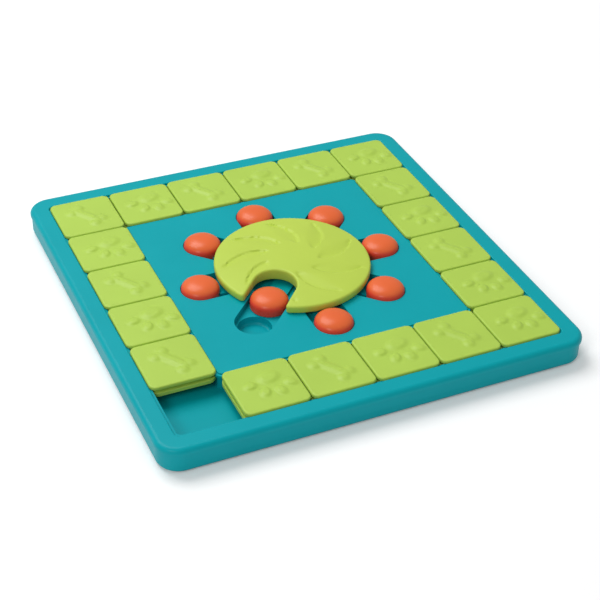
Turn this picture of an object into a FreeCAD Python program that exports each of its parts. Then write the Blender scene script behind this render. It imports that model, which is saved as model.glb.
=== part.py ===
"""A square puzzle feeder for dogs: a tray, a ring of sliding tiles, eight knobs and a turning disc.

Millimetres. The origin is the middle of the board on the surface that it stands on, +Z up.
The empty corner of the ring is at -X -Y.
"""
import FreeCAD, Part
import math
import os
import Sketcher

V = FreeCAD.Vector

# Driving dimensions, in millimetres and degrees
SIZES = {
    # Board and shells
    "tile_pitch": 63.5,
    "rim_width": 19.0,
    "outer_corner_radius": 22.0,
    "foot_stand": 1.0,
    "base_height": 19.5,
    "rim_height": 6.5,
    "shell_wall": 2.6,
    "floor_thickness": 2.5,
    "treat_floor_rise": 7.0,
    "parting_inset": 1.2,
    "rim_edge_round": 5.0,
    "rim_inner_round": 1.2,
    "base_edge_round": 4.0,
    "ring_corner_radius": 5.0,
    "deck_drop": 0.8,
    "deck_edge_round": 0.8,
    "rib_thickness": 2.0,
    "rib_rise": 0.8,
    # Rails that the tiles run on
    "rail_reach": 2.5,
    "rail_thickness": 2.5,
    "tile_seat": 0.3,
    "flange_play": 0.4,
    "side_play": 0.35,
    # Tiles
    "tile_gap": 1.2,
    "tile_rise": 1.4,
    "tile_plate": 3.4,
    "tile_corner_radius": 6.5,
    "tile_edge_round": 1.3,
    "waist_play": 0.7,
    "waist_corner_radius": 4.0,
    "tile_hollow_radius": 2.0,
    "flange_thickness": 4.0,
    "flange_corner_radius": 8.0,
    # Sliding knobs and their slots
    "knob_radius": 18.6,
    "knob_wall": 2.4,
    "knob_height": 15.0,
    "knob_crown": 7.0,
    "knob_edge_round": 3.0,
    "knob_ring_radius": 96.0,
    "knob_travel": 36.0,
    "slot_clearance": 0.6,
    "slot_depth": 6.6,
    "slide_seat": 0.3,
    "bar_width": 22.0,
    "bar_height": 6.0,
    "bar_reach": 42.0,
    "bar_play": 0.3,
    "post_radius": 5.0,
    "post_gap": 0.5,
    "well_radius": 16.4,
    "well_depth": 8.0,
    "well_round": 3.0,
    "centre_radius": 54.0,
    # Turning disc
    "disc_radius": 76.5,
    "disc_lift": 0.6,
    "disc_rim_height": 7.4,
    "disc_dome": 5.0,
    "disc_skin": 2.6,
    "disc_edge_round": 2.0,
    "notch_radius": 21.0,
    "notch_centre": 46.5,
    "notch_wall": 2.4,
    "hub_radius": 12.5,
    "hub_seat": 0.3,
    "hub_drop": 4.0,
    "peg_radius": 8.0,
    "peg_fit": 0.06,
    "washer_radius": 12.0,
    "washer_thickness": 1.6,
    # Screws and feet
    "screw_radius": 1.75,
    "screw_bite": 0.05,
    "screw_head_radius": 3.4,
    "screw_head_height": 2.0,
    "screw_hole_play": 0.2,
    "rim_screw_length": 17.5,
    "deck_screw_length": 12.0,
    "hub_screw_length": 10.0,
    "boss_radius": 4.4,
    "deck_boss_ring": 112.0,
    "rim_boss_spacing": 127.0,
    "foot_radius": 8.0,
    "foot_thickness": 2.4,
    "foot_inset": 30.0,
}

# Counts that shape the layout
TILES_ON_SIDE = 6
KNOBS = 8
SIDES = 4

# Levels and reaches worked out from the sheet
BASE_LOW = "Sizes.foot_stand"
PARTING = "(Sizes.foot_stand + Sizes.base_height)"
RIM_TOP = "(Sizes.foot_stand + Sizes.base_height + Sizes.rim_height)"
DECK_TOP = "(%s - Sizes.deck_drop)" % RIM_TOP
TREAT_FLOOR = "(Sizes.foot_stand + Sizes.treat_floor_rise)"
FLOOR_UNDER = "(Sizes.foot_stand + Sizes.treat_floor_rise - Sizes.floor_thickness)"
TILE_TOP = "(%s + Sizes.tile_rise)" % RIM_TOP
PLATE_UNDER = "(%s + Sizes.tile_rise - Sizes.tile_plate)" % RIM_TOP
RAIL_TOP = "(%s - Sizes.tile_seat)" % PLATE_UNDER
RAIL_UNDER = "(%s - Sizes.rail_thickness)" % RAIL_TOP
FLANGE_TOP = "(%s - Sizes.flange_play)" % RAIL_UNDER
FLANGE_LOW = "(%s - Sizes.flange_thickness)" % FLANGE_TOP
RING_HALF = "(Sizes.tile_pitch * %g)" % (TILES_ON_SIDE / 2)
DECK_HALF = "(Sizes.tile_pitch * %g)" % (TILES_ON_SIDE / 2 - 1)
BOARD_HALF = "(%s + Sizes.rim_width)" % RING_HALF
BASE_HALF = "(%s - Sizes.parting_inset)" % BOARD_HALF
TRENCH_HALF = "(%s + Sizes.side_play)" % RING_HALF
FLANGE_WIDTH = "(Sizes.tile_pitch - Sizes.side_play * 2)"
WAIST_WIDTH = "(Sizes.tile_pitch - (Sizes.rail_reach + Sizes.waist_play) * 2)"
SLOT_FLOOR = "(%s - Sizes.slot_depth)" % DECK_TOP
SLOT_RADIUS = "(Sizes.knob_radius + Sizes.slot_clearance)"
KNOB_INNER = "(Sizes.knob_ring_radius - Sizes.knob_travel)"
WELL_FLOOR = "(%s - Sizes.well_depth)" % SLOT_FLOOR
KNOB_LOW = "(%s + Sizes.slide_seat)" % SLOT_FLOOR
DISC_LOW = "(%s + Sizes.disc_lift)" % DECK_TOP
DISC_RIM_TOP = "(%s + Sizes.disc_rim_height)" % DISC_LOW
DISC_CROWN = "(%s + Sizes.disc_dome)" % DISC_RIM_TOP
SLEEVE_TOP = "(%s - Sizes.hub_seat)" % DISC_LOW
SLEEVE_LOW = "(%s - Sizes.hub_drop)" % SLOT_FLOOR
PEG_LOW = "(%s - Sizes.hub_seat)" % SLEEVE_LOW
KNOB_TOP = "(%s + Sizes.knob_height)" % KNOB_LOW
KNOB_SHOULDER = "(%s - Sizes.knob_crown)" % KNOB_TOP
BAR_TOP = "(%s + Sizes.bar_height)" % KNOB_LOW

doc = FreeCAD.newDocument("puzzle_feeder")
sheet = doc.addObject("Spreadsheet::Sheet", "Sizes")
for row, (alias, value) in enumerate(SIZES.items(), 1):
    sheet.set("A%d" % row, alias)
    sheet.set("B%d" % row, "%g" % value)
    sheet.setAlias("B%d" % row, alias)
doc.recompute()

made = []


def worth(expression):
    """The number that an expression over the sheet comes to."""
    value = sheet.evalExpression(expression)
    return float(getattr(value, "Value", value))


def origin_part(body, role):
    """One of the origin planes or axes of a body."""
    return [item for item in body.Origin.OriginFeatures if item.Role == role][0]


class Piece:
    """A PartDesign body that grows feature by feature, each bound to the sheet."""

    def __init__(self, label, kept=True):
        self.body = doc.addObject("PartDesign::Body", label)
        self.body.Label = label
        self.count = 0
        if kept:
            made.append(self.body)

    def place(self, across="0", along="0", up="0", turn="0"):
        """Put the body at a point of the board, turned about Z."""
        self.body.setExpression(".Placement.Base.x", across)
        self.body.setExpression(".Placement.Base.y", along)
        self.body.setExpression(".Placement.Base.z", up)
        self.body.setExpression(".Placement.Rotation.Angle", turn)
        return self

    def sketch(self, level, across="0", along="0", turn="0", role="XY_Plane"):
        self.count += 1
        sketch = self.body.newObject("Sketcher::SketchObject", "%s_sketch%d" % (self.body.Name, self.count))
        sketch.AttachmentSupport = [(origin_part(self.body, role), "")]
        sketch.MapMode = "FlatFace"
        sketch.setExpression(".AttachmentOffset.Base.x", across)
        sketch.setExpression(".AttachmentOffset.Base.y", along)
        sketch.setExpression(".AttachmentOffset.Base.z", level)
        sketch.setExpression(".AttachmentOffset.Rotation.Angle", turn)
        return sketch

    def circle(self, radius, level, across="0", along="0", turn="0"):
        sketch = self.sketch(level, across, along, turn)
        reach = worth(radius)
        sketch.addGeometry(Part.Circle(V(0, 0, 0), V(0, 0, 1), reach), False)
        sketch.addConstraint(Sketcher.Constraint("Coincident", 0, 3, -1, 1))
        size = sketch.addConstraint(Sketcher.Constraint("Radius", 0, reach))
        sketch.setExpression("Constraints[%d]" % size, radius)
        return sketch

    def oblong(self, width, depth, level, across="0", along="0", turn="0"):
        """A sharp rectangle about the point given."""
        sketch = self.sketch(level, across, along, turn)
        x, y = worth(width) / 2, worth(depth) / 2
        corners = [V(-x, -y, 0), V(x, -y, 0), V(x, y, 0), V(-x, y, 0)]
        for i in range(4):
            sketch.addGeometry(Part.LineSegment(corners[i], corners[(i + 1) % 4]), False)
        for i in range(4):
            sketch.addConstraint(Sketcher.Constraint("Coincident", i, 2, (i + 1) % 4, 1))
        for line, kind in ((0, "Horizontal"), (1, "Vertical"), (2, "Horizontal"), (3, "Vertical")):
            sketch.addConstraint(Sketcher.Constraint(kind, line))
        sketch.addConstraint(Sketcher.Constraint("Symmetric", 0, 1, 1, 2, -1, 1))
        wide = sketch.addConstraint(Sketcher.Constraint("DistanceX", 0, 1, 0, 2, 2 * x))
        deep = sketch.addConstraint(Sketcher.Constraint("DistanceY", 1, 1, 1, 2, 2 * y))
        sketch.setExpression("Constraints[%d]" % wide, width)
        sketch.setExpression("Constraints[%d]" % deep, depth)
        return sketch

    def rounded(self, width, radius, level):
        """A square with round corners, about the body's own axis."""
        sketch = self.sketch(level)
        half, bend = worth(width) / 2, worth(radius)
        flat = half - bend
        runs = [(V(-flat, -half, 0), V(flat, -half, 0)), (V(half, -flat, 0), V(half, flat, 0)),
                (V(flat, half, 0), V(-flat, half, 0)), (V(-half, flat, 0), V(-half, -flat, 0))]
        middles = [V(flat, -flat, 0), V(flat, flat, 0), V(-flat, flat, 0), V(-flat, -flat, 0)]
        for i in range(4):
            sketch.addGeometry(Part.LineSegment(*runs[i]), False)
            arc = Part.Circle(middles[i], V(0, 0, 1), bend)
            start = math.radians(90.0 * (i - 1))
            sketch.addGeometry(Part.ArcOfCircle(arc, start, start + math.radians(90.0)), False)
        for i in range(4):
            line, bow, following = 2 * i, 2 * i + 1, (2 * i + 2) % 8
            sketch.addConstraint(Sketcher.Constraint("Tangent", line, 2, bow, 1))
            sketch.addConstraint(Sketcher.Constraint("Tangent", bow, 2, following, 1))
        sketch.addConstraint(Sketcher.Constraint("Horizontal", 0))
        sketch.addConstraint(Sketcher.Constraint("Vertical", 2))
        for bow in (3, 5, 7):
            sketch.addConstraint(Sketcher.Constraint("Equal", 1, bow))
        sketch.addConstraint(Sketcher.Constraint("Symmetric", 1, 3, 5, 3, -1, 1))
        bend_size = sketch.addConstraint(Sketcher.Constraint("Radius", 1, bend))
        wide = sketch.addConstraint(Sketcher.Constraint("DistanceX", 7, 3, 1, 3, 2 * flat))
        deep = sketch.addConstraint(Sketcher.Constraint("DistanceY", 1, 3, 3, 3, 2 * flat))
        sketch.setExpression("Constraints[%d]" % bend_size, radius)
        sketch.setExpression("Constraints[%d]" % wide, "%s - 2 * %s" % (width, radius))
        sketch.setExpression("Constraints[%d]" % deep, "%s - 2 * %s" % (width, radius))
        return sketch

    def turned(self, profile):
        """Revolve a closed profile of (radius, height) points; a third item starts a cap about the axis."""
        sketch = self.sketch("0", role="XZ_Plane")
        spots = [V(worth(point[0]), worth(point[1]), 0) for point in profile]
        ends = []
        for i, point in enumerate(profile):
            start, end = spots[i], spots[(i + 1) % len(profile)]
            if len(point) == 2:
                sketch.addGeometry(Part.LineSegment(start, end), False)
                ends.append((1, 2))
                continue
            middle = V(0, (start.x ** 2 - end.x ** 2 + start.y ** 2 - end.y ** 2) / (2 * (start.y - end.y)), 0)
            outer, inner = (start, end) if start.x > end.x else (end, start)
            low = math.atan2(outer.y - middle.y, outer.x)
            high = math.atan2(inner.y - middle.y, inner.x)
            circle = Part.Circle(middle, V(0, 0, 1), (start - middle).Length)
            sketch.addGeometry(Part.ArcOfCircle(circle, low, high), False)
            ends.append((1, 2) if outer is start else (2, 1))
            sketch.addConstraint(Sketcher.Constraint("PointOnObject", i, 3, -2))
        for i in range(len(profile)):
            following = (i + 1) % len(profile)
            sketch.addConstraint(Sketcher.Constraint("Coincident", i, ends[i][1], following, ends[following][0]))
        for i, point in enumerate(profile):
            if point[0] == "0":
                sketch.addConstraint(Sketcher.Constraint("PointOnObject", i, ends[i][0], -2))
            else:
                out = sketch.addConstraint(Sketcher.Constraint("DistanceX", -1, 1, i, ends[i][0], spots[i].x))
                sketch.setExpression("Constraints[%d]" % out, point[0])
            up = sketch.addConstraint(Sketcher.Constraint("DistanceY", -1, 1, i, ends[i][0], spots[i].y))
            sketch.setExpression("Constraints[%d]" % up, point[1])
        return self.feature("PartDesign::Revolution", sketch)

    def feature(self, kind, sketch):
        self.count += 1
        feature = self.body.newObject(kind, "%s_step%d" % (self.body.Name, self.count))
        feature.Profile = sketch
        if kind == "PartDesign::Revolution":
            feature.ReferenceAxis = (sketch, ["V_Axis"])
        return feature

    def pad(self, sketch, height):
        pad = self.feature("PartDesign::Pad", sketch)
        pad.setExpression("Length", height)
        return pad

    def pocket(self, sketch, depth):
        """Cut from the sketch's level downwards."""
        pocket = self.feature("PartDesign::Pocket", sketch)
        pocket.setExpression("Length", depth)
        return pocket

    def around(self, features, copies):
        """Repeat features evenly about the body's Z axis."""
        self.count += 1
        pattern = self.body.newObject("PartDesign::PolarPattern", "%s_step%d" % (self.body.Name, self.count))
        pattern.Originals = features
        pattern.Axis = (origin_part(self.body, "Z_Axis"), [""])
        pattern.Angle = 360.0
        pattern.Occurrences = copies
        self.body.Tip = pattern
        return pattern

    def soften(self, radius, wanted):
        """Round the edges that pass the test."""
        doc.recompute()
        self.count += 1
        base = self.body.Tip
        shape = base.Shape
        names = ["Edge%d" % (i + 1) for i, edge in enumerate(shape.Edges) if wanted(edge)]
        fillet = self.body.newObject("PartDesign::Fillet", "%s_step%d" % (self.body.Name, self.count))
        fillet.Base = (base, names)
        fillet.setExpression("Radius", radius)
        self.body.Tip = fillet
        return fillet


def at_level(edge, level):
    """True for an edge that lies flat at a level."""
    box = edge.BoundBox
    return abs(box.ZMin - level) < 0.01 and abs(box.ZMax - level) < 0.01


def flat_at(expression, low=0.0, high=1.0e6):
    """A test for edges at a level whose reach from the axis is within limits."""
    level = worth(expression)

    def wanted(edge):
        box = edge.BoundBox
        reach = max(abs(box.XMin), abs(box.XMax), abs(box.YMin), abs(box.YMax))
        return at_level(edge, level) and low <= reach <= high

    return wanted


def polar(radius, angle):
    """Expressions for a point at a radius and an angle in degrees."""
    return "%s * cos(%g deg)" % (radius, angle), "%s * sin(%g deg)" % (radius, angle)


# Angles of the layout, in degrees
FIRST_KNOB_TURN = 90.0
NOTCH_TURN = -135.0
DECK_BOSS_TURN = 22.5
KNOBS_PUSHED_IN = 6

# Places of the screws and feet
SCREW_HOLE = "(Sizes.screw_radius + Sizes.screw_bite)"
RIM_BOSS_LINE = "((%s + %s) / 2)" % (TRENCH_HALF, BASE_HALF)
RIM_BOSSES = [("(Sizes.rim_boss_spacing * %d)" % step if step else "0 mm", RIM_BOSS_LINE) for step in (-1, 0, 1)]
FOOT_REACH = "(%s - Sizes.foot_inset)" % BASE_HALF
RIB_LINES = ["(Sizes.tile_pitch * %g)" % step for step in (0.5, 1.5)]


def each_side(place):
    """A place and its three turns about the middle of the board."""
    across, along = place
    return [(across, along), ("-(%s)" % along, across), ("-(%s)" % across, "-(%s)" % along), (along, "-(%s)" % across)]


def make_base():
    """The lower moulding: outer wall, floor of the treat trench, trench wall, ribs and bosses."""
    base = Piece("base_tray")
    outer_bend = "(Sizes.outer_corner_radius - Sizes.parting_inset)"
    inner_bend = "(%s - Sizes.shell_wall)" % outer_bend
    inside = "((%s - Sizes.shell_wall) * 2)" % BASE_HALF
    base.pad(base.rounded(BASE_HALF + " * 2", outer_bend, BASE_LOW), "Sizes.base_height")
    base.soften("Sizes.base_edge_round", flat_at(BASE_LOW))
    base.pocket(base.rounded(inside, inner_bend, PARTING), "%s - %s" % (PARTING, TREAT_FLOOR))
    base.pocket(base.rounded(inside, inner_bend, FLOOR_UNDER), "%s - %s" % (FLOOR_UNDER, BASE_LOW))
    rib_low = "(%s + Sizes.rib_rise)" % BASE_LOW
    rib_height = "%s - %s" % (FLOOR_UNDER, rib_low)
    foot = (FOOT_REACH, FOOT_REACH)
    seat_radius = "(Sizes.foot_radius + Sizes.rib_thickness)"
    parts = [base.pad(base.oblong("Sizes.rib_thickness", inside, rib_low, across=line), rib_height)
             for line in RIB_LINES]
    parts += [base.pad(base.circle("Sizes.boss_radius", FLOOR_UNDER, *place), "%s - %s" % (PARTING, FLOOR_UNDER))
              for place in RIM_BOSSES]
    parts.append(base.pad(base.circle(seat_radius, BASE_LOW, *foot), "%s - %s" % (FLOOR_UNDER, BASE_LOW)))
    base.around(parts, SIDES)
    wall_width = "((%s + Sizes.shell_wall) * 2)" % TRENCH_HALF
    wall_bend = "(Sizes.ring_corner_radius + Sizes.shell_wall)"
    base.pad(base.rounded(wall_width, wall_bend, TREAT_FLOOR), "%s - %s" % (RAIL_UNDER, TREAT_FLOOR))
    base.pocket(base.rounded(TRENCH_HALF + " * 2", "Sizes.ring_corner_radius", RAIL_UNDER),
                "%s - %s" % (RAIL_UNDER, TREAT_FLOOR))
    hole = "(Sizes.screw_radius + Sizes.screw_hole_play)"
    cuts = [base.pocket(base.circle(hole, PARTING, *place), "%s - %s" % (PARTING, BASE_LOW)) for place in RIM_BOSSES]
    cuts.append(base.pocket(base.circle("Sizes.foot_radius", "Sizes.foot_thickness", *foot),
                            "Sizes.foot_thickness - %s" % BASE_LOW))
    base.around(cuts, SIDES)
    deck_hole = base.circle(hole, TREAT_FLOOR, *polar("Sizes.deck_boss_ring", DECK_BOSS_TURN))
    base.around([base.pocket(deck_hole, "Sizes.floor_thickness")], KNOBS)


def make_rim():
    """The upper frame: soft outer edge, inner lip, outer rail and screw bosses."""
    rim = Piece("rim_frame")
    skin_under = "(%s - Sizes.shell_wall)" % RIM_TOP
    hollow_width = "((%s - Sizes.shell_wall) * 2)" % BOARD_HALF
    wall_width = "((%s + Sizes.shell_wall) * 2)" % TRENCH_HALF
    rail_width = "((%s - Sizes.rail_reach) * 2)" % RING_HALF
    rim.pad(rim.rounded(BOARD_HALF + " * 2", "Sizes.outer_corner_radius", PARTING), "Sizes.rim_height")
    rim.soften("Sizes.rim_edge_round", flat_at(RIM_TOP))
    rim.pocket(rim.rounded(hollow_width, "(Sizes.outer_corner_radius - Sizes.shell_wall)", skin_under),
               "%s - %s" % (skin_under, PARTING))
    rim.pad(rim.rounded(wall_width, "(Sizes.ring_corner_radius + Sizes.shell_wall)", RAIL_UNDER),
            "%s - %s" % (skin_under, RAIL_UNDER))
    rim.around([rim.pad(rim.circle("Sizes.boss_radius", PARTING, *place), "%s - %s" % (skin_under, PARTING))
                for place in RIM_BOSSES], SIDES)
    rim.pocket(rim.rounded(RING_HALF + " * 2", "Sizes.ring_corner_radius", RIM_TOP), "%s - %s" % (RIM_TOP, RAIL_TOP))
    rim.soften("Sizes.rim_inner_round", flat_at(RIM_TOP, 0.0, worth(RING_HALF) + 1.0))
    rim.pocket(rim.rounded(rail_width, "Sizes.ring_corner_radius", RAIL_TOP), "Sizes.rail_thickness")
    tip = "(%s + Sizes.rim_screw_length)" % FLOOR_UNDER
    rim.around([rim.pocket(rim.circle(SCREW_HOLE, tip, *place), "%s - %s" % (tip, PARTING))
                for place in RIM_BOSSES], SIDES)


def make_deck():
    """The square island: rail, eight radial slots with treat wells, middle recess and hub sleeve."""
    deck = Piece("deck_panel")
    skin_under = "(%s - Sizes.shell_wall)" % DECK_TOP
    tub_low = "(%s - Sizes.floor_thickness)" % SLOT_FLOOR
    tub_height = "%s - %s" % (skin_under, tub_low)
    deck.pad(deck.rounded(DECK_HALF + " * 2", "Sizes.ring_corner_radius", TREAT_FLOOR),
             "%s - %s" % (DECK_TOP, TREAT_FLOOR))
    deck.soften("Sizes.deck_edge_round", flat_at(DECK_TOP))
    rail_width = "((%s + Sizes.rail_reach) * 2)" % DECK_HALF
    deck.pad(deck.rounded(rail_width, "(Sizes.ring_corner_radius + Sizes.rail_reach)", RAIL_UNDER),
             "Sizes.rail_thickness")
    hollow_width = "((%s - Sizes.shell_wall) * 2)" % DECK_HALF
    deck.pocket(deck.rounded(hollow_width, "(Sizes.ring_corner_radius - Sizes.shell_wall)", skin_under),
                "%s - %s" % (skin_under, TREAT_FLOOR))
    ring = "Sizes.knob_ring_radius"
    wide = "(%s + Sizes.shell_wall)" % SLOT_RADIUS
    tub = deck.pad(deck.oblong(ring, wide + " * 2", tub_low, across=ring + " / 2"), tub_height)
    tub_end = deck.pad(deck.circle(wide, tub_low, across=ring), tub_height)
    cup_low = "(%s - Sizes.floor_thickness)" % WELL_FLOOR
    cup = deck.pad(deck.circle("(Sizes.well_radius + Sizes.shell_wall)", cup_low, across=ring),
                   "%s - %s" % (SLOT_FLOOR, cup_low))
    boss = deck.pad(deck.circle("Sizes.boss_radius", TREAT_FLOOR, *polar("Sizes.deck_boss_ring", DECK_BOSS_TURN)),
                    "%s - %s" % (skin_under, TREAT_FLOOR))
    deck.around([tub, tub_end, cup, boss], KNOBS)
    deck.pad(deck.circle("(Sizes.centre_radius + Sizes.shell_wall)", tub_low), tub_height)
    slot = deck.pocket(deck.oblong(ring, SLOT_RADIUS + " * 2", DECK_TOP, across=ring + " / 2"), "Sizes.slot_depth")
    slot_end = deck.pocket(deck.circle(SLOT_RADIUS, DECK_TOP, across=ring), "Sizes.slot_depth")
    well = deck.pocket(deck.circle("Sizes.well_radius", SLOT_FLOOR, across=ring), "Sizes.well_depth")
    tip = "(%s + Sizes.deck_screw_length)" % FLOOR_UNDER
    hole = deck.pocket(deck.circle(SCREW_HOLE, tip, *polar("Sizes.deck_boss_ring", DECK_BOSS_TURN)),
                       "%s - %s" % (tip, TREAT_FLOOR))
    deck.around([slot, slot_end, well, hole], KNOBS)
    deck.pocket(deck.circle("Sizes.centre_radius", DECK_TOP), "Sizes.slot_depth")
    deck.pad(deck.circle("Sizes.hub_radius", SLEEVE_LOW), "%s - %s" % (SLEEVE_TOP, SLEEVE_LOW))
    deck.pocket(deck.circle("(Sizes.peg_radius + Sizes.peg_fit)", SLEEVE_TOP), "%s - %s" % (SLEEVE_TOP, SLEEVE_LOW))
    deck.soften("Sizes.well_round", flat_at(WELL_FLOOR))


def make_slider(number, turn, reach):
    """One knob on its slide bar; the bar's tongue stays under the disc and holds the knob down."""
    across, along = polar(reach, turn)
    knob = Piece("knob_%d" % number).place(across, along, turn="%g deg" % turn)
    inner = "(Sizes.knob_radius - Sizes.knob_wall)"
    knob.turned([("Sizes.knob_radius", KNOB_LOW), ("Sizes.knob_radius", KNOB_SHOULDER, "cap"),
                 ("0", KNOB_TOP), ("0", "(%s - Sizes.knob_wall)" % KNOB_TOP, "cap"),
                 (inner, "(%s - Sizes.knob_wall)" % KNOB_SHOULDER), (inner, KNOB_LOW)])
    knob.soften("Sizes.knob_edge_round", flat_at(KNOB_SHOULDER))
    gate = "(Sizes.bar_width + Sizes.bar_play * 2)"
    gate_top = "(%s + Sizes.bar_play)" % BAR_TOP
    knob.pocket(knob.oblong("Sizes.knob_radius", gate, gate_top, across="-Sizes.knob_radius"),
                "%s - %s" % (gate_top, KNOB_LOW))
    bar = Piece("slide_bar_%d" % number).place(across, along, turn="%g deg" % turn)
    bar.pad(bar.circle("(%s - Sizes.bar_play)" % inner, KNOB_LOW), "Sizes.bar_height")
    bar.pad(bar.oblong("Sizes.bar_reach", "Sizes.bar_width", KNOB_LOW, across="-Sizes.bar_reach / 2"),
            "Sizes.bar_height")
    bar.pad(bar.circle("Sizes.post_radius", BAR_TOP), "%s - Sizes.knob_wall - Sizes.post_gap - %s" % (KNOB_TOP, BAR_TOP))


def make_disc():
    """The turning disc: a domed shell with a walled notch, a hub and a peg."""
    turn = "%g deg" % NOTCH_TURN
    solid = Piece("disc_outside", kept=False).place(turn=turn)
    low_edge = "(Sizes.disc_radius - Sizes.disc_edge_round)"
    solid.turned([("0", DISC_LOW), (low_edge, DISC_LOW), ("Sizes.disc_radius", "(%s + Sizes.disc_edge_round)" % DISC_LOW),
                  ("Sizes.disc_radius", DISC_RIM_TOP, "cap"), ("0", DISC_CROWN)])
    solid.soften("Sizes.disc_edge_round", flat_at(DISC_RIM_TOP))
    mouth = "(Sizes.disc_radius + Sizes.disc_edge_round - Sizes.notch_centre)"
    mouth_middle = "(Sizes.notch_centre + %s / 2)" % mouth
    depth = "%s - %s" % (DISC_CROWN, DISC_LOW)
    solid.pocket(solid.circle("Sizes.notch_radius", DISC_CROWN, across="Sizes.notch_centre"), depth)
    solid.pocket(solid.oblong(mouth, "Sizes.notch_radius * 2", DISC_CROWN, across=mouth_middle), depth)
    solid.pad(solid.circle("Sizes.peg_radius", PEG_LOW), "%s - %s" % (DISC_LOW, PEG_LOW))
    tip = "(%s + Sizes.hub_screw_length)" % PEG_LOW
    solid.pocket(solid.circle(SCREW_HOLE, tip), "Sizes.hub_screw_length")
    cavity = Piece("disc_cavity", kept=False).place(turn=turn)
    inside = "(Sizes.disc_radius - Sizes.disc_skin)"
    cavity.turned([("0", DISC_LOW), (inside, DISC_LOW), (inside, "(%s - Sizes.disc_skin)" % DISC_RIM_TOP, "cap"),
                   ("0", "(%s - Sizes.disc_skin)" % DISC_CROWN)])
    wide = "(Sizes.notch_radius + Sizes.notch_wall)"
    cavity.pocket(cavity.circle(wide, DISC_CROWN, across="Sizes.notch_centre"), depth)
    cavity.pocket(cavity.oblong(mouth, wide + " * 2", DISC_CROWN, across=mouth_middle), depth)
    cavity.pocket(cavity.circle("Sizes.hub_radius", DISC_CROWN), depth)
    disc = doc.addObject("Part::Cut", "feeder_disc")
    disc.Label = "feeder_disc"
    disc.Base = solid.body
    disc.Tool = cavity.body
    made.append(disc)
    washer = Piece("hub_washer")
    washer.pad(washer.circle("Sizes.washer_radius", PEG_LOW + " - Sizes.washer_thickness"), "Sizes.washer_thickness")
    washer.pocket(washer.circle("(Sizes.screw_radius + Sizes.screw_hole_play)", PEG_LOW), "Sizes.washer_thickness")


def cylinder(name, radius, height, across, along, low):
    """A plain upright cylinder bound to the sheet."""
    rod = doc.addObject("Part::Cylinder", name)
    rod.setExpression("Radius", radius)
    rod.setExpression("Height", height)
    rod.setExpression(".Placement.Base.x", across)
    rod.setExpression(".Placement.Base.y", along)
    rod.setExpression(".Placement.Base.z", low)
    return rod


def group(label, members):
    """Several like solids in one node."""
    compound = doc.addObject("Part::Compound", label)
    compound.Label = label
    compound.Links = members
    made.append(compound)


def make_screws(label, places, seat, length):
    """Pan head screws driven upwards, their heads against the seat level."""
    screws = []
    for i, (across, along) in enumerate(places, 1):
        name = "%s_%d" % (label, i)
        head = cylinder(name + "_head", "Sizes.screw_head_radius", "Sizes.screw_head_height", across, along,
                        "%s - Sizes.screw_head_height" % seat)
        shank = cylinder(name + "_shank", "Sizes.screw_radius", length, across, along, seat)
        screw = doc.addObject("Part::Fuse", name)
        screw.Base = head
        screw.Tool = shank
        screws.append(screw)
    group(label, screws)


def make_tile(label, column, row):
    """One ring tile: top plate, waist that runs between the rails, and flange under them."""
    tile = Piece(label).place("Sizes.tile_pitch * %g" % column, "Sizes.tile_pitch * %g" % row)
    tile.pad(tile.rounded("(Sizes.tile_pitch - Sizes.tile_gap)", "Sizes.tile_corner_radius", PLATE_UNDER),
             "Sizes.tile_plate")
    tile.soften("Sizes.tile_edge_round", flat_at(TILE_TOP))
    tile.pad(tile.rounded(WAIST_WIDTH, "Sizes.waist_corner_radius", FLANGE_TOP), "%s - %s" % (PLATE_UNDER, FLANGE_TOP))
    tile.pad(tile.rounded(FLANGE_WIDTH, "Sizes.flange_corner_radius", FLANGE_LOW), "Sizes.flange_thickness")
    skin_under = "(%s - Sizes.shell_wall)" % TILE_TOP
    tile.pocket(tile.rounded("(%s - Sizes.shell_wall * 2)" % WAIST_WIDTH, "Sizes.tile_hollow_radius", skin_under),
                "%s - %s" % (skin_under, FLANGE_LOW))


make_base()
make_rim()
make_deck()
for number in range(1, KNOBS + 1):
    turn = FIRST_KNOB_TURN - 360.0 / KNOBS * (number - 1)
    make_slider(number, turn, KNOB_INNER if number == KNOBS_PUSHED_IN else "Sizes.knob_ring_radius")
make_disc()
make_screws("rim_screws", [spot for place in RIM_BOSSES for spot in each_side(place)], FLOOR_UNDER,
            "Sizes.rim_screw_length")
make_screws("deck_screws", [polar("Sizes.deck_boss_ring", DECK_BOSS_TURN + 360.0 / KNOBS * k) for k in range(KNOBS)],
            FLOOR_UNDER, "Sizes.deck_screw_length")
make_screws("hub_screw", [("0 mm", "0 mm")], "(%s - Sizes.washer_thickness)" % PEG_LOW, "Sizes.hub_screw_length")
group("rubber_feet", [cylinder("rubber_foot_%d" % i, "Sizes.foot_radius", "Sizes.foot_thickness", across, along, "0 mm")
                      for i, (across, along) in enumerate(each_side((FOOT_REACH, FOOT_REACH)), 1)])
far = TILES_ON_SIDE / 2 - 0.5
for number in range(1, TILES_ON_SIDE):
    make_tile("left_tile_%d" % number, -far, far - number + 1)
for number in range(2, TILES_ON_SIDE + 1):
    make_tile("back_tile_%d" % number, number - 1 - far, far)
for number in range(2, TILES_ON_SIDE):
    make_tile("right_tile_%d" % number, far, far - number + 1)
for number in range(2, TILES_ON_SIDE + 1):
    make_tile("front_tile_%d" % number, number - 1 - far, -far)

doc.recompute()
for item in doc.Objects:
    if "Invalid" in item.State or "Error" in item.State:
        raise RuntimeError("%s did not build" % item.Label)
for item in made:
    if item.Shape.isNull() or not item.Shape.isValid():
        raise RuntimeError("%s has no sound shape" % item.Label)
os.makedirs("parts", exist_ok=True)
for item in made:
    item.Shape.exportStep("parts/%s.step" % item.Label)
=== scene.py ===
"""The looks of the puzzle board: plastics, embossed tiles, a fluted disc, floor, light and camera.

Pieces are worked out in millimetres and scaled to metres in new_piece. The studio is in metres.
"""
import math

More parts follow.
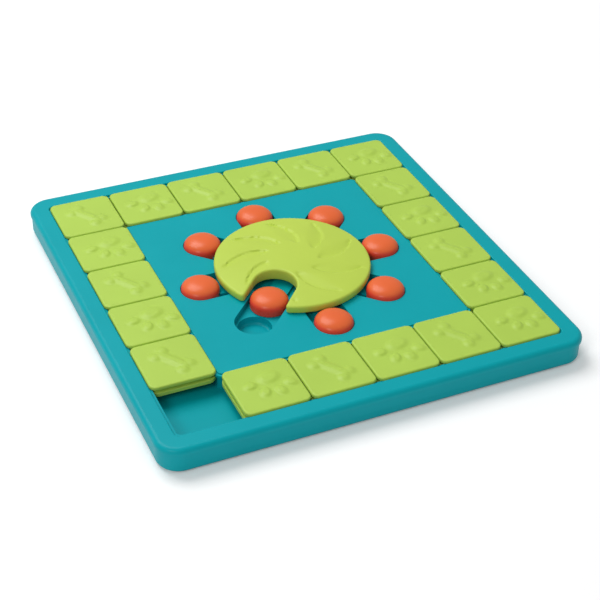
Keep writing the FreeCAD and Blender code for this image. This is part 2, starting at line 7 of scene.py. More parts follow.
import bmesh
import bpy
from mathutils import Matrix, Vector
from mathutils.geometry import delaunay_2d_cdt


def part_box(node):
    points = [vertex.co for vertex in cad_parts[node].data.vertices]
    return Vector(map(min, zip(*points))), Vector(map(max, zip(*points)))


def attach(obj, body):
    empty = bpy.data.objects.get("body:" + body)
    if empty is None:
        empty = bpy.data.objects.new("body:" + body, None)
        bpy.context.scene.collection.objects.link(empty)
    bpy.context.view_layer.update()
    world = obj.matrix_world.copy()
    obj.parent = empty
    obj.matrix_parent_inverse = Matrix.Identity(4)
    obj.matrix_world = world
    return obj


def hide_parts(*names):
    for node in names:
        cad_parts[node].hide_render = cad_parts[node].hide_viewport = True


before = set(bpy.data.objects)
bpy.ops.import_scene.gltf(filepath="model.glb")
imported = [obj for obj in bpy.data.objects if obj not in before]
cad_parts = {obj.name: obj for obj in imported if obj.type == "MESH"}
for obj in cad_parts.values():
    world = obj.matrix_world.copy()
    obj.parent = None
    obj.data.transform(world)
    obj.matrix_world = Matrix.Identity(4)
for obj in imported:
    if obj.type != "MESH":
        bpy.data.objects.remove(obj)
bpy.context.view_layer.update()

MM = 0.001

# Every piece: the angle in degrees below which an edge is smooth, and the distance in metres to weld at
SMOOTH_BELOW = 38.0
WELD_DISTANCE = 1e-6

# Tile, in millimetres
TILE_PLATE = 3.4
TILE_GAP = 1.2
TILE_CORNER = 6.5
TILE_EDGE = 1.5
TILE_UNDER_EDGE = 0.5
TILE_SIDE_PLAY = 0.35
WAIST_INSET = 2.6
WAIST_CORNER = 4.0
FLANGE_DEPTH = 4.0
FLANGE_CORNER = 8.0
BLOCK_EDGE = 0.4
RELIEF_HEIGHT = 1.5

# Mesh of a tile: angles round its top edge in degrees, steps along half a side, and the rings' corners
TILE_EDGE_ANGLES = (0, 25, 45, 62, 77, 90)
TILE_STEPS = 26
BLOCK_STEPS = 10
INNER_CORNER_SHARE = 0.14

# Paw mark on a tile, in millimetres and degrees, and the shares of a pad's reach where it fades
PAD_ACROSS = 6.0
PAD_ALONG = 9.0
PAD_LONG = 12.5
PAD_SHORT = 9.0
PAD_HEADING = 12.0
TOE_HEADINGS = (-163.0, -119.0, -79.0, -38.0)
TOE_REACH = 20.5
TOE_LONG = 7.2
TOE_SHORT = 5.6
PAD_FULL = 0.45
PAD_GONE = 1.05

# Bone mark on a tile, in millimetres and degrees
BONE_HEADING = -54.0
BONE_SHAFT_HALF = 13.0
BONE_SHAFT_RADIUS = 6.0
BONE_LOBE_ALONG = 15.0
BONE_LOBE_ACROSS = 5.4
BONE_LOBE_RADIUS = 6.2
BONE_FULL = -4.4
BONE_GONE = 0.7

# Tiles that carry the paw; the others carry the bone
PAW_TILES = ("left_tile_2", "left_tile_4", "back_tile_2", "back_tile_4", "back_tile_6", "right_tile_3",
             "right_tile_5", "front_tile_2", "front_tile_4", "front_tile_6")

# Disc, in millimetres and degrees
DECK_DROP = 0.8
DISC_LIFT = 0.6
DISC_RADIUS = 76.5
DISC_RIM_HEIGHT = 7.4
DISC_DOME = 5.0
DISC_EDGE = 2.2
DISC_UNDER_EDGE = ((1.4, 0.0), (0.4, 0.4), (0.0, 1.4))
NOTCH_TURN = -135.0
NOTCH_RADIUS = 21.0
NOTCH_CENTRE = 46.5
NOTCH_MOUTH_ROUND = 3.0
LEAST_ROUND = 0.4
PEG_RADIUS = 8.0

# Pinwheel of hollows in the disc: millimetres, degrees, and the powers that shape each hollow
FLUTES = 9
FLUTE_PITCH = 360.0 / FLUTES
FLUTE_SHIFT = FLUTE_PITCH / 3.0
FLUTE_DEPTH = 1.5
FLUTE_INNER = 24.0
FLUTE_OUTER = 70.0
FLUTE_SWEEP = 38.0
FLUTE_WIDTH = 21.0
FLUTE_LEAST_WIDTH = 1.0
FLUTE_LIP = 1.5
FLUTE_CURL_POWER = 1.4
FLUTE_BELLY_POWER = 0.8
FLUTE_END_FADE = 0.25
FLUTE_EDGE_START = 2.0
FLUTE_EDGE_FULL = 6.0

# Mesh of the disc: even triangles inside, rings round its edge
DISC_EDGE_ANGLES = (0, 22, 42, 60, 75, 90)
DISC_STEP = 1.6
DISC_ROW_SHARE = math.sqrt(0.75)
DISC_EDGE_MARGIN = 0.8
RIM_STEPS = 150
MOUTH_STEPS = 8
NOTCH_SIDE_STEPS = 12
NOTCH_STEPS = 40

# Triangulation: how near two points merge, and the kind of result with nothing outside the edge
TRIANGLE_TOLERANCE = 1e-5
KEEP_INSIDE = 1

# Knobs, in millimetres and degrees
KNOBS = 8
FIRST_KNOB_TURN = 90.0
KNOB_RING = 96.0
PUSHED_IN_KNOB = 6
PUSHED_IN_REACH = 60.0
KNOB_RADIUS = 18.6
KNOB_WALL = 2.4
KNOB_SIDE = 5.0
KNOB_FOOT_EDGE = 0.5
KNOB_MOUTH_RISE = 1.0
KNOB_HOLLOW_RISE = 3.0
KNOB_HOLLOW_SHARE = 0.87
KNOB_FULLNESS = 2.35
KNOB_DOME_STEPS = 22
KNOB_AROUND = 72

# Tongue and post under a knob, in millimetres
TONGUE_WIDTH = 20.0
TONGUE_THICKNESS = 2.4
TONGUE_REACH = 42.0
TONGUE_TIP = 2.0
TONGUE_STEP = 9
POST_RADIUS = 5.0

# Points round a knob's post and the disc's peg
ROD_AROUND = 48

# Camera: place, lens and sensor in millimetres, angles in degrees, and how far it sees in metres
CAMERA_PLACE = (-481.3, -1040.0, 828.0)
CAMERA_AZIMUTH = 25.27
CAMERA_ELEVATION = 36.29
CAMERA_ROLL = 1.945
CAMERA_LENS = 85.79
CAMERA_SENSOR = 36.0
CAMERA_CLIP = 50.0

# Lamps: name, place in metres, size in metres, power in watts
LAMPS = (("key", (-0.5, 1.2, 2.2), 1.6, 43.0),
         ("front", (-1.7, -1.3, 1.7), 0.7, 13.0))
WORLD_STRENGTH = 0.38

# Floor: half its width in metres, its albedo, finish, and the lift that camera rays see
FLOOR_REACH = 12.0
FLOOR_WHITE = 0.96
FLOOR_ROUGHNESS = 0.9
FLOOR_GLOSS = 0.1
FLOOR_LIFT = 0.14

# Colours, linear
TEAL = (0.0005, 0.375, 0.430)
LIME = (0.450, 0.655, 0.090)
DISC_LIME = (0.520, 0.680, 0.085)
ORANGE = (0.850, 0.150, 0.040)
# Painted shade: the knobs' sides get this deeper, redder orange than their tops
ORANGE_SHADED_SIDE = (0.850, 0.062, 0.032)
STEEL = (0.55, 0.55, 0.56)
BLACK = (0.03, 0.03, 0.032)
WHITE = (1.0, 1.0, 1.0, 1.0)

# Finish of each plastic
PLASTIC_GRAIN = 0.1
PLASTIC_GLOSS = 0.3
TEAL_ROUGHNESS = 0.36
TEAL_GLOSS = 0.14
LIME_ROUGHNESS = 0.42
ORANGE_ROUGHNESS = 0.3
RUBBER_ROUGHNESS = 0.8
RUBBER_GRAIN = 0.3

# All plastics: mottling, grain with its depth in metres, and how far the gloss varies; then where edges
# count as worn and get a painted highlight, and where faces count as sides that get painted shade
PLASTIC_IOR = 1.49
MOTTLE_SCALE = 22.0
MOTTLE_DETAIL = 3.0
MOTTLE_DARK = 0.94
MOTTLE_PALE = 1.05
GRAIN_SCALE = 1400.0
GRAIN_DETAIL = 2.0
GRAIN_DEPTH = 0.0002
GLOSS_LESS = 0.05
GLOSS_MORE = 0.06
# Paler edges where pointiness is high: wear together with a painted highlight along the edges
EDGE_START = 0.53
EDGE_FULL = 0.62
EDGE_SHARE = 0.3
EDGE_HIGHLIGHT_WEAR_SHARE = 0.75
EDGE_HIGHLIGHT_WEAR_WHITE = 0.18
SHADED_SIDE_BELOW = 0.35
LIT_TOP_ABOVE = 0.9

# Steel
SCRATCH_SCALE = 900.0
SCRATCH_DETAIL = 2.0
STEEL_SMOOTHEST = 0.22
STEEL_ROUGHEST = 0.42


def smooth_step(low, high, value):
    """0 below low, 1 above high, with an eased slope between."""
    share = min(1.0, max(0.0, (value - low) / (high - low)))
    return share * share * (3.0 - 2.0 * share)


def node_box(node):
    """A node's lowest and highest corners in millimetres."""
    low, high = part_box(node)
    return [value / MM for value in low], [value / MM for value in high]


def turned_into(x, y, heading):
    """A place in axes that are turned by a heading in degrees."""
    turn = math.radians(heading)
    return x * math.cos(turn) + y * math.sin(turn), -x * math.sin(turn) + y * math.cos(turn)


def placed(points, across, along, turn=0.0):
    """Points turned about Z, in radians, and moved."""
    cosine, sine = math.cos(turn), math.sin(turn)
    return [(across + x * cosine - y * sine, along + x * sine + y * cosine, z) for x, y, z in points]


def circle(radius, count):
    """Points round a circle, from +X."""
    return [(radius * math.cos(2.0 * math.pi * i / count), radius * math.sin(2.0 * math.pi * i / count))
            for i in range(count)]


def at_level(outline, level):
    """An outline's points at one height."""
    return [(x, y, level) for x, y in outline]


def add_points(points, more):
    """Add points to a list and give their numbers in it."""
    start = len(points)
    points.extend(more)
    return list(range(start, len(points)))


def bands(loops):
    """Quads between each closed loop of points and the next."""
    faces = []
    for first, second in zip(loops, loops[1:]):
        for i in range(len(first)):
            following = (i + 1) % len(first)
            faces.append((first[i], first[following], second[following], second[i]))
    return faces


def fan(loop, tip):
    """Triangles from a closed loop to one point."""
    count = len(loop)
    return [(loop[i], loop[(i + 1) % count], tip) for i in range(count)]


def add_prism(points, faces, outline, base, peak):
    """Add a closed upright prism on an outline."""
    lower = add_points(points, at_level(outline, base))
    upper = add_points(points, at_level(outline, peak))
    faces.extend(bands([lower, upper]))
    faces.append(tuple(lower))
    faces.append(tuple(upper))


def new_piece(name, points, faces, material, body):
    """An object from points in millimetres, shaded smooth below a fair angle."""
    mesh = bpy.data.meshes.new(name)
    mesh.from_pydata([tuple(value * MM for value in point) for point in points], [], faces)
    work = bmesh.new()
    work.from_mesh(mesh)
    bmesh.ops.remove_doubles(work, verts=work.verts, dist=WELD_DISTANCE)
    bmesh.ops.recalc_face_normals(work, faces=work.faces)
    for face in work.faces:
        face.smooth = True
    for edge in work.edges:
        if len(edge.link_faces) == 2:
            edge.smooth = edge.calc_face_angle(0.0) < math.radians(SMOOTH_BELOW)
    work.to_mesh(mesh)
    work.free()
    piece = bpy.data.objects.new(name, mesh)
    bpy.context.scene.collection.objects.link(piece)
    mesh.materials.append(material)
    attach(piece, body)
    return piece


def new_material(name):
    """A material with its nodes, links and main shader."""
    material = bpy.data.materials.new(name)
    material.use_nodes = True
    nodes, links = material.node_tree.nodes, material.node_tree.links
    return material, nodes, links, nodes["Principled BSDF"]


def noise(nodes, scale, detail):
    """A noise texture of a scale and detail."""
    texture = nodes.new("ShaderNodeTexNoise")
    texture.inputs["Scale"].default_value = scale
    texture.inputs["Detail"].default_value = detail
    return texture


def spread(nodes, links, source, start, full, low, high):
    """Map an output from one range to another."""
    mapped = nodes.new("ShaderNodeMapRange")
    mapped.inputs["From Min"].default_value = start
    mapped.inputs["From Max"].default_value = full
    mapped.inputs["To Min"].default_value = low
    mapped.inputs["To Max"].default_value = high
    links.new(source, mapped.inputs["Value"])
    return mapped


def colour_mix(nodes, links, factor):
    """A colour mix led by an output."""
    mix = nodes.new("ShaderNodeMix")
    mix.data_type = "RGBA"
    links.new(factor, mix.inputs["Factor"])
    return mix


def mottled(nodes, links, clouds, colour):
    """The colour, a little darker and paler in soft clouds."""
    shade = colour_mix(nodes, links, clouds.outputs["Fac"])
    shade.inputs["A"].default_value = (*[value * MOTTLE_DARK for value in colour], 1.0)
    shade.inputs["B"].default_value = (*[min(1.0, value * MOTTLE_PALE) for value in colour], 1.0)
    return shade


def painted_side_shade(nodes, links, top, shaded_side_colour):
    """Painted shade: a deeper colour where the surface doesn't face up, standing in for the shade on the
    sides.
    """
    surface = nodes.new("ShaderNodeNewGeometry")
    facing = nodes.new("ShaderNodeSeparateXYZ")
    links.new(surface.outputs["Normal"], facing.inputs["Vector"])
    upward = spread(nodes, links, facing.outputs["Z"], SHADED_SIDE_BELOW, LIT_TOP_ABOVE, 0.0, 1.0)
    upward.interpolation_type = "SMOOTHSTEP"
    finish = colour_mix(nodes, links, upward.outputs["Result"])
    finish.inputs["A"].default_value = (*shaded_side_colour, 1.0)
    links.new(top.outputs["Result"], finish.inputs["B"])
    return finish


def painted_edge_highlight_and_wear(nodes, links, under, colour):
    """A paler colour along the edges, for wear and a painted highlight."""
    surface = nodes.new("ShaderNodeNewGeometry")
    edges = spread(nodes, links, surface.outputs["Pointiness"], EDGE_START, EDGE_FULL, 0.0, EDGE_SHARE)
    highlit_wear = colour_mix(nodes, links, edges.outputs["Result"])
    highlit_wear.inputs["B"].default_value = (*[value * EDGE_HIGHLIGHT_WEAR_SHARE + EDGE_HIGHLIGHT_WEAR_WHITE for value in colour], 1.0)
    links.new(under.outputs["Result"], highlit_wear.inputs["A"])
    return highlit_wear


def plastic(name, colour, roughness, grain=PLASTIC_GRAIN, gloss_level=PLASTIC_GLOSS, edge_highlight_and_wear=False,
            shaded_side_colour=None):
    """Moulded plastic: faint mottling, fine grain, and where asked paler edges for wear with a painted
    highlight, and sides deepened as painted shade.
    """
    material, nodes, links, shader = new_material(name)
    shader.inputs["IOR"].default_value = PLASTIC_IOR
    shader.inputs["Specular IOR Level"].default_value = gloss_level
    place = nodes.new("ShaderNodeTexCoord")
    clouds = noise(nodes, MOTTLE_SCALE, MOTTLE_DETAIL)
    links.new(place.outputs["Object"], clouds.inputs["Vector"])
    finish = mottled(nodes, links, clouds, colour)
    if shaded_side_colour:
        finish = painted_side_shade(nodes, links, finish, shaded_side_colour)
    if edge_highlight_and_wear:
        finish = painted_edge_highlight_and_wear(nodes, links, finish, colour)
    links.new(finish.outputs["Result"], shader.inputs["Base Color"])
    smoothest, roughest = roughness - GLOSS_LESS, roughness + GLOSS_MORE
    gloss = spread(nodes, links, clouds.outputs["Fac"], 0.0, 1.0, smoothest, roughest)
    links.new(gloss.outputs["Result"], shader.inputs["Roughness"])
    fine = noise(nodes, GRAIN_SCALE, GRAIN_DETAIL)
    links.new(place.outputs["Object"], fine.inputs["Vector"])
    bump = nodes.new("ShaderNodeBump")
    bump.inputs["Strength"].default_value = grain
    bump.inputs["Distance"].default_value = GRAIN_DEPTH
    links.new(fine.outputs["Fac"], bump.inputs["Height"])
    links.new(bump.outputs["Normal"], shader.inputs["Normal"])
    return material


def steel(name):
    """Bright screw steel whose gloss varies."""
    material, nodes, links, shader = new_material(name)
    shader.inputs["Base Color"].default_value = (*STEEL, 1.0)
    shader.inputs["Metallic"].default_value = 1.0
    scratches = noise(nodes, SCRATCH_SCALE, SCRATCH_DETAIL)
    gloss = spread(nodes, links, scratches.outputs["Fac"], 0.0, 1.0, STEEL_SMOOTHEST, STEEL_ROUGHEST)
    links.new(gloss.outputs["Result"], shader.inputs["Roughness"])
    return material


def rounded_square(half, corner, steps):
    """Points round a square with round corners, each side drawn from one corner's middle to the next."""
    points = []
    straight = half - corner
    length = straight + corner * math.pi / 4.0
    for quarter in range(4):
        for i in range(-steps, steps):
            along = abs(i) / steps * length
            if along <= straight:
                x, y = half, along
            else:
                angle = (along - straight) / corner
                x, y = straight + corner * math.cos(angle), straight + corner * math.sin(angle)
            if i < 0:
                y = -y
            for _ in range(quarter):
                x, y = -y, x
            points.append((x, y))
    return points


def edge_insets(edge, angles):
    """How far in from the side each step round an edge lies."""
    return [edge * (1.0 - math.cos(math.radians(angle))) for angle in angles]


def edge_drop(edge, inset):
    """How far a round edge lies below the top at an inset."""
    inward = max(0.0, edge - inset)
    return edge - math.sqrt(max(0.0, edge ** 2 - inward ** 2))


def paw(x, y):
    """Height share of a paw mark at a place of the tile: one broad pad and four toes."""
    marks = [(PAD_ACROSS, PAD_ALONG, PAD_LONG, PAD_SHORT, PAD_HEADING)]
    for heading in TOE_HEADINGS:
        turn = math.radians(heading)
        across = PAD_ACROSS + TOE_REACH * math.cos(turn)
        along = PAD_ALONG + TOE_REACH * math.sin(turn)
        marks.append((across, along, TOE_LONG, TOE_SHORT, heading))
    best = 0.0
    for across, along, long_half, short_half, heading in marks:
        u, v = turned_into(x - across, y - along, heading)
        reach = math.hypot(u / long_half, v / short_half)
        best = max(best, 1.0 - smooth_step(PAD_FULL, PAD_GONE, reach))
    return best


def bone(x, y):
    """Height share of a bone mark: a straight shaft with two round lobes at each end."""
    u, v = turned_into(x, y, BONE_HEADING)
    beyond = max(abs(u) - BONE_SHAFT_HALF, 0.0)
    distance = math.hypot(beyond, v) - BONE_SHAFT_RADIUS
    for end in (-1, 1):
        for side in (-1, 1):
            from_lobe = math.hypot(u - end * BONE_LOBE_ALONG, v - side * BONE_LOBE_ACROSS)
            distance = min(distance, from_lobe - BONE_LOBE_RADIUS)
    return 1.0 - smooth_step(BONE_FULL, BONE_GONE, distance)


def add_tile_plate(points, faces, half, top, mark):
    """Add a tile's top plate, in rings from its round edge to its middle, and its underside."""
    insets = edge_insets(TILE_EDGE, TILE_EDGE_ANGLES)
    rings = TILE_STEPS - len(insets) + 1
    rest = [TILE_EDGE + (half - TILE_EDGE) * (i + 1.0) / rings for i in range(rings - 1)]
    loops = []
    for inset in insets + rest:
        corner = max(TILE_CORNER - inset, (half - inset) * INNER_CORNER_SHARE)
        level = top - edge_drop(TILE_EDGE, inset)
        outline = rounded_square(half - inset, corner, TILE_STEPS)
        loops.append(add_points(points, [(x, y, level + RELIEF_HEIGHT * mark(x, y)) for x, y in outline]))
    faces.extend(bands(loops))
    points.append((0.0, 0.0, top + RELIEF_HEIGHT * mark(0.0, 0.0)))
    faces.extend(fan(loops[-1], len(points) - 1))
    under = [loops[0]]
    for rise, inset in ((TILE_UNDER_EDGE, 0.0), (0.0, TILE_UNDER_EDGE)):
        outline = rounded_square(half - inset, TILE_CORNER - inset, TILE_STEPS)
        under.append(add_points(points, at_level(outline, top - TILE_PLATE + rise)))
    faces.extend(bands(under))
    faces.append(tuple(under[-1]))


def add_block(points, faces, half, corner, base, peak):
    """Add a square block with round corners and small bevels at its top and bottom."""
    loops = []
    for level, inset in ((base, BLOCK_EDGE), (base + BLOCK_EDGE, 0.0),
                         (peak - BLOCK_EDGE, 0.0), (peak, BLOCK_EDGE)):
        outline = rounded_square(half - inset, corner - inset, BLOCK_STEPS)
        loops.append(add_points(points, at_level(outline, level)))
    faces.extend(bands(loops))
    faces.append(tuple(loops[0]))
    faces.append(tuple(loops[-1]))


def tile_piece(node, mark, material):
    """A tile whose top plate carries a soft raised mark, over its waist and flange."""
    low, high = node_box(node)
    top = high[2]
    flange_top = low[2] + FLANGE_DEPTH
    flange_half = (high[0] - low[0]) / 2.0
    half = flange_half + TILE_SIDE_PLAY - TILE_GAP / 2.0
    points, faces = [], []
    add_tile_plate(points, faces, half, top, mark)
    add_block(points, faces, half - WAIST_INSET, WAIST_CORNER, flange_top, top - TILE_PLATE)
    add_block(points, faces, flange_half, FLANGE_CORNER, low[2], flange_top)
    points = placed(points, (low[0] + high[0]) / 2.0, (low[1] + high[1]) / 2.0)
    piece = new_piece(node + "_embossed", points, faces, material, node)
    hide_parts(node)


def disc_outline(inset):
    """The disc's edge with its notch, drawn in by an inset, in disc axes with the notch on +X."""
    notch = NOTCH_RADIUS + inset
    outer = DISC_RADIUS - inset
    bend = max(NOTCH_MOUTH_ROUND - inset, LEAST_ROUND)
    bend_y = NOTCH_RADIUS + NOTCH_MOUTH_ROUND
    bend_x = math.sqrt((DISC_RADIUS - NOTCH_MOUTH_ROUND) ** 2 - bend_y ** 2)
    start = math.atan2(bend_y, bend_x)
    quarter = math.pi / 2.0
    span = bend_x - NOTCH_CENTRE
    points = []
    for i in range(RIM_STEPS + 1):
        angle = start + (2.0 * math.pi - 2.0 * start) * i / RIM_STEPS
        points.append((outer * math.cos(angle), outer * math.sin(angle)))
    for i in range(1, MOUTH_STEPS):
        angle = -start + (quarter + start) * i / MOUTH_STEPS
        points.append((bend_x + bend * math.cos(angle), -bend_y + bend * math.sin(angle)))
    for i in range(NOTCH_SIDE_STEPS + 1):
        points.append((bend_x - span * i / NOTCH_SIDE_STEPS, -notch))
    for i in range(1, NOTCH_STEPS):
        angle = -quarter - math.pi * i / NOTCH_STEPS
        points.append((NOTCH_CENTRE + notch * math.cos(angle), notch * math.sin(angle)))
    for i in range(NOTCH_SIDE_STEPS + 1):
        points.append((NOTCH_CENTRE + span * i / NOTCH_SIDE_STEPS, notch))
    for i in range(1, MOUTH_STEPS):
        angle = -quarter + (quarter + start) * i / MOUTH_STEPS
        points.append((bend_x + bend * math.cos(angle), bend_y + bend * math.sin(angle)))
    return points


def disc_edge_distance(x, y):
    """How far a place lies inside the disc's edge and its notch."""
    from_notch = math.hypot(x - NOTCH_CENTRE, y) if x < NOTCH_CENTRE else abs(y)
    return min(DISC_RADIUS - math.hypot(x, y), from_notch - NOTCH_RADIUS)


def flute(x, y):
    """Depth share of the pinwheel: each hollow is sharp on one side and fades on the other."""
    reach = math.hypot(x, y)
    if not FLUTE_INNER < reach < FLUTE_OUTER:
        return 0.0
    along = (reach - FLUTE_INNER) / (FLUTE_OUTER - FLUTE_INNER)
    heading = math.degrees(math.atan2(y, x)) - FLUTE_SWEEP * along ** FLUTE_CURL_POWER
    offset = math.radians((heading + FLUTE_SHIFT) % FLUTE_PITCH) * reach
    belly = math.sin(math.pi * along ** FLUTE_BELLY_POWER)
    width = FLUTE_WIDTH * belly ** FLUTE_BELLY_POWER
    if width < FLUTE_LEAST_WIDTH or offset > width:
        return 0.0
    lip = smooth_step(0.0, FLUTE_LIP, offset)
    slope = 1.0 - smooth_step(FLUTE_LIP, width, offset)
    return lip * slope * smooth_step(0.0, FLUTE_END_FADE, math.sin(math.pi * along))


def disc_height(x, y, edge, rim_top):
    """Height of the disc's top at a place that lies inside its edge by a distance."""
    sphere = (DISC_RADIUS ** 2 + DISC_DOME ** 2) / (2.0 * DISC_DOME)
    reach = min(math.hypot(x, y), DISC_RADIUS)
    dome = math.sqrt(sphere ** 2 - reach ** 2) - (sphere - DISC_DOME)
    fade = smooth_step(FLUTE_EDGE_START, FLUTE_EDGE_FULL, edge)
    return rim_top + dome - edge_drop(DISC_EDGE, edge) - FLUTE_DEPTH * flute(x, y) * fade


def disc_top(rim_top):
    """Points and faces of the disc's top, and the numbers of the points round its edge."""
    insets = edge_insets(DISC_EDGE, DISC_EDGE_ANGLES)
    loop = len(disc_outline(0.0))
    flat, edge_distances, edges = [], [], []
    for i, inset in enumerate(insets):
        flat.extend(Vector(spot) for spot in disc_outline(inset))
        edge_distances.extend([inset] * loop)
        edges.extend((i * loop + j, i * loop + (j + 1) % loop) for j in range(loop))
    rows = int(DISC_RADIUS / DISC_STEP) + 1
    for row in range(-rows, rows + 1):
        y = row * DISC_STEP * DISC_ROW_SHARE
        for column in range(-rows, rows + 1):
            x = (column + 0.5 * (row % 2)) * DISC_STEP
            distance = disc_edge_distance(x, y)
            if distance > DISC_EDGE + DISC_EDGE_MARGIN:
                flat.append(Vector((x, y)))
                edge_distances.append(distance)
    result = delaunay_2d_cdt(flat, edges, [list(range(loop))], KEEP_INSIDE, TRIANGLE_TOLERANCE)
    spots, triangles, sources = result[0], result[2], result[3]
    points = []
    where = {}
    for index, (spot, origin) in enumerate(zip(spots, sources)):
        edge = edge_distances[origin[0]] if origin else disc_edge_distance(spot.x, spot.y)
        points.append((spot.x, spot.y, disc_height(spot.x, spot.y, edge, rim_top)))
        where.update((source, index) for source in origin)
    return points, [tuple(face) for face in triangles], [where[i] for i in range(loop)]


def disc_piece(material):
    """The domed disc with its notch, rim band, pinwheel and peg."""
    low, _ = node_box("feeder_disc")
    disc_low = node_box("rim_frame")[1][2] - DECK_DROP + DISC_LIFT
    points, faces, rim = disc_top(disc_low + DISC_RIM_HEIGHT)
    loops = [rim]
    for rise, inset in DISC_UNDER_EDGE:
        loops.append(add_points(points, at_level(disc_outline(inset), disc_low + rise)))
    faces.extend(bands(loops))
    faces.append(tuple(loops[-1]))
    add_prism(points, faces, circle(PEG_RADIUS, ROD_AROUND), low[2], disc_low)
    points = placed(points, 0.0, 0.0, math.radians(NOTCH_TURN))
    piece = new_piece("feeder_disc_fluted", points, faces, material, "disc")
    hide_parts("feeder_disc")


def knob_place(number):
    """Where a knob stands on its slot, and the slot's turn in radians."""
    reach = PUSHED_IN_REACH if number == PUSHED_IN_KNOB else KNOB_RING
    turn = math.radians(FIRST_KNOB_TURN - 360.0 / KNOBS * (number - 1))
    return reach * math.cos(turn), reach * math.sin(turn), turn


def knob_piece(number, material):
    """A round knob with a full dome and soft shoulder, hollow underneath."""
    node = "knob_%d" % number
    low, high = node_box(node)
    foot, top = low[2], high[2]
    shoulder = foot + KNOB_SIDE
    rise = top - shoulder
    power = 2.0 / KNOB_FULLNESS
    side = [(KNOB_RADIUS - KNOB_WALL, foot + KNOB_MOUTH_RISE), (KNOB_RADIUS - KNOB_WALL, foot),
            (KNOB_RADIUS - KNOB_FOOT_EDGE, foot), (KNOB_RADIUS, foot + KNOB_FOOT_EDGE),
            (KNOB_RADIUS, shoulder)]
    dome = []
    for i in range(1, KNOB_DOME_STEPS):
        angle = math.radians(90.0 * i / KNOB_DOME_STEPS)
        dome.append((KNOB_RADIUS * math.cos(angle) ** power, shoulder + rise * math.sin(angle) ** power))
    hollow = [(out * KNOB_HOLLOW_SHARE, level - KNOB_WALL) for out, level in reversed(dome)
              if level - KNOB_WALL > foot + KNOB_HOLLOW_RISE]
    points = []
    loops = [add_points(points, at_level(circle(out, KNOB_AROUND), level))
             for out, level in hollow + side + dome]
    faces = bands(loops)
    for loop, level in ((loops[0], top - KNOB_WALL), (loops[-1], top)):
        points.append((0.0, 0.0, level))
        faces.extend(fan(loop, len(points) - 1))
    across, along, _ = knob_place(number)
    points = placed(points, across, along)
    piece = new_piece("%s_domed" % node, points, faces, material, "slider_%d" % number)
    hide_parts(node)


def tongue_piece(number, material):
    """The flat tongue under a knob that runs in under the disc, with the post that carries the knob."""
    node = "slide_bar_%d" % number
    low, high = node_box(node)
    tongue_top = low[2] + TONGUE_THICKNESS
    half = TONGUE_WIDTH / 2.0
    outline = [(half * math.cos(math.radians(angle)), half * math.sin(math.radians(angle)))
               for angle in range(-90, 91, TONGUE_STEP)]
    outline.extend([(TONGUE_TIP - TONGUE_REACH, half), (-TONGUE_REACH, half - TONGUE_TIP),
                    (-TONGUE_REACH, TONGUE_TIP - half), (TONGUE_TIP - TONGUE_REACH, -half)])
    points, faces = [], []
    add_prism(points, faces, outline, low[2], tongue_top)
    add_prism(points, faces, circle(POST_RADIUS, ROD_AROUND), tongue_top, high[2])
    points = placed(points, *knob_place(number))
    piece = new_piece("slide_tongue_%d" % number, points, faces, material, "slider_%d" % number)
    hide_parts(node)


def dress(node, material):
    """Give a CAD node its finish."""
    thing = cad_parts[node]
    thing.data.materials.clear()
    thing.data.materials.append(material)


def make_floor():
    """A wide white floor that keeps the board's soft shadow."""
    mesh = bpy.data.meshes.new("floor")
    corners = [(-FLOOR_REACH, -FLOOR_REACH, 0.0), (FLOOR_REACH, -FLOOR_REACH, 0.0),
               (FLOOR_REACH, FLOOR_REACH, 0.0), (-FLOOR_REACH, FLOOR_REACH, 0.0)]
    mesh.from_pydata(corners, [], [(0, 1, 2, 3)])
    floor = bpy.data.objects.new("floor", mesh)
    bpy.context.scene.collection.objects.link(floor)
    material, nodes, links, shader = new_material("floor_white")
    shader.inputs["Base Color"].default_value = (FLOOR_WHITE, FLOOR_WHITE, FLOOR_WHITE, 1.0)
    shader.inputs["Roughness"].default_value = FLOOR_ROUGHNESS
    shader.inputs["Specular IOR Level"].default_value = FLOOR_GLOSS
    shader.inputs["Emission Color"].default_value = WHITE
    rays = nodes.new("ShaderNodeLightPath")
    lift = nodes.new("ShaderNodeMath")
    lift.operation = "MULTIPLY"
    lift.inputs[1].default_value = FLOOR_LIFT
    links.new(rays.outputs["Is Camera Ray"], lift.inputs[0])
    links.new(lift.outputs["Value"], shader.inputs["Emission Strength"])
    mesh.materials.append(material)


def make_light(name, place, size, power):
    """A square soft lamp aimed at the board."""
    lamp = bpy.data.lights.new(name, "AREA")
    lamp.energy = power
    lamp.size = size
    holder = bpy.data.objects.new(name, lamp)
    holder.location = place
    holder.rotation_euler = (-Vector(place)).to_track_quat("-Z", "Y").to_euler()
    bpy.context.scene.collection.objects.link(holder)


def make_world():
    """Even white light from all round."""
    world = bpy.data.worlds.new("studio")
    world.use_nodes = True
    back = world.node_tree.nodes["Background"]
    back.inputs["Color"].default_value = WHITE
    back.inputs["Strength"].default_value = WORLD_STRENGTH
    bpy.context.scene.world = world


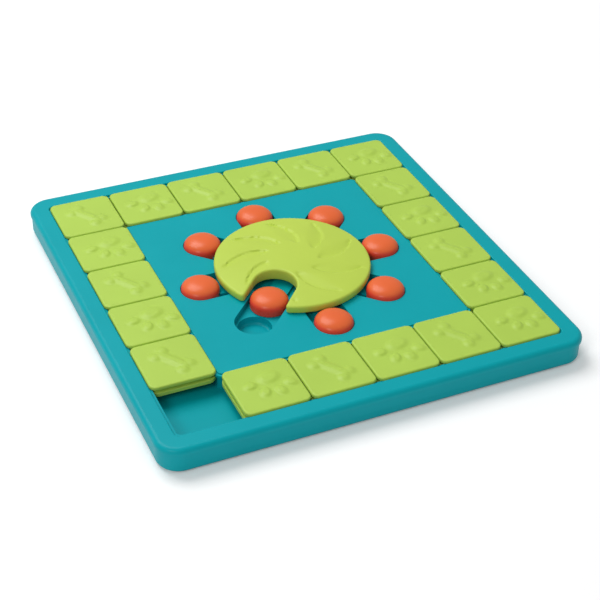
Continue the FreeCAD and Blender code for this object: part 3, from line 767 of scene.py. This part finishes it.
def make_camera():
    """The photograph's view: right, up and back axes from azimuth, elevation and roll."""
    turn, lift, roll = [math.radians(angle) for angle in (CAMERA_AZIMUTH, CAMERA_ELEVATION, CAMERA_ROLL)]
    ahead = Vector((math.sin(turn) * math.cos(lift), math.cos(turn) * math.cos(lift), -math.sin(lift)))
    right = Vector((math.cos(turn), -math.sin(turn), 0.0))
    up = right.cross(ahead)
    rolled_right = math.cos(roll) * right + math.sin(roll) * up
    rolled_up = -math.sin(roll) * right + math.cos(roll) * up
    camera = bpy.data.cameras.new("camera")
    camera.lens = CAMERA_LENS
    camera.sensor_width = CAMERA_SENSOR
    camera.clip_end = CAMERA_CLIP
    holder = bpy.data.objects.new("camera", camera)
    axes = Matrix((rolled_right, rolled_up, -ahead)).transposed().to_4x4()
    holder.matrix_world = Matrix.Translation([value * MM for value in CAMERA_PLACE]) @ axes
    bpy.context.scene.collection.objects.link(holder)
    bpy.context.scene.camera = holder


# Materials
teal = plastic("teal_plastic", TEAL, TEAL_ROUGHNESS, gloss_level=TEAL_GLOSS)
# Tiles and disc: their edges are painted paler, for wear and a painted highlight
lime = plastic("lime_plastic", LIME, LIME_ROUGHNESS, edge_highlight_and_wear=True)
disc_lime = plastic("disc_plastic", DISC_LIME, LIME_ROUGHNESS, edge_highlight_and_wear=True)
# Knobs: their sides are painted a deeper orange as painted shade
orange = plastic("orange_plastic", ORANGE, ORANGE_ROUGHNESS, shaded_side_colour=ORANGE_SHADED_SIDE)
rubber = plastic("foot_rubber", BLACK, RUBBER_ROUGHNESS, grain=RUBBER_GRAIN)
metal = steel("screw_steel")

# Pieces
for node in ("base_tray", "rim_frame", "deck_panel"):
    dress(node, teal)
for node in ("rim_screws", "deck_screws", "hub_screw", "hub_washer"):
    dress(node, metal)
dress("rubber_feet", rubber)
for number in range(1, KNOBS + 1):
    knob_piece(number, orange)
    tongue_piece(number, teal)
for node in [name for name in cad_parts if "_tile_" in name]:
    tile_piece(node, paw if node in PAW_TILES else bone, lime)
disc_piece(disc_lime)

# Studio
make_floor()
for name, place, size, power in LAMPS:
    make_light(name, place, size, power)
make_world()
make_camera()
bpy.context.scene.view_settings.view_transform = "Standard"

bpy.context.view_layer.update()
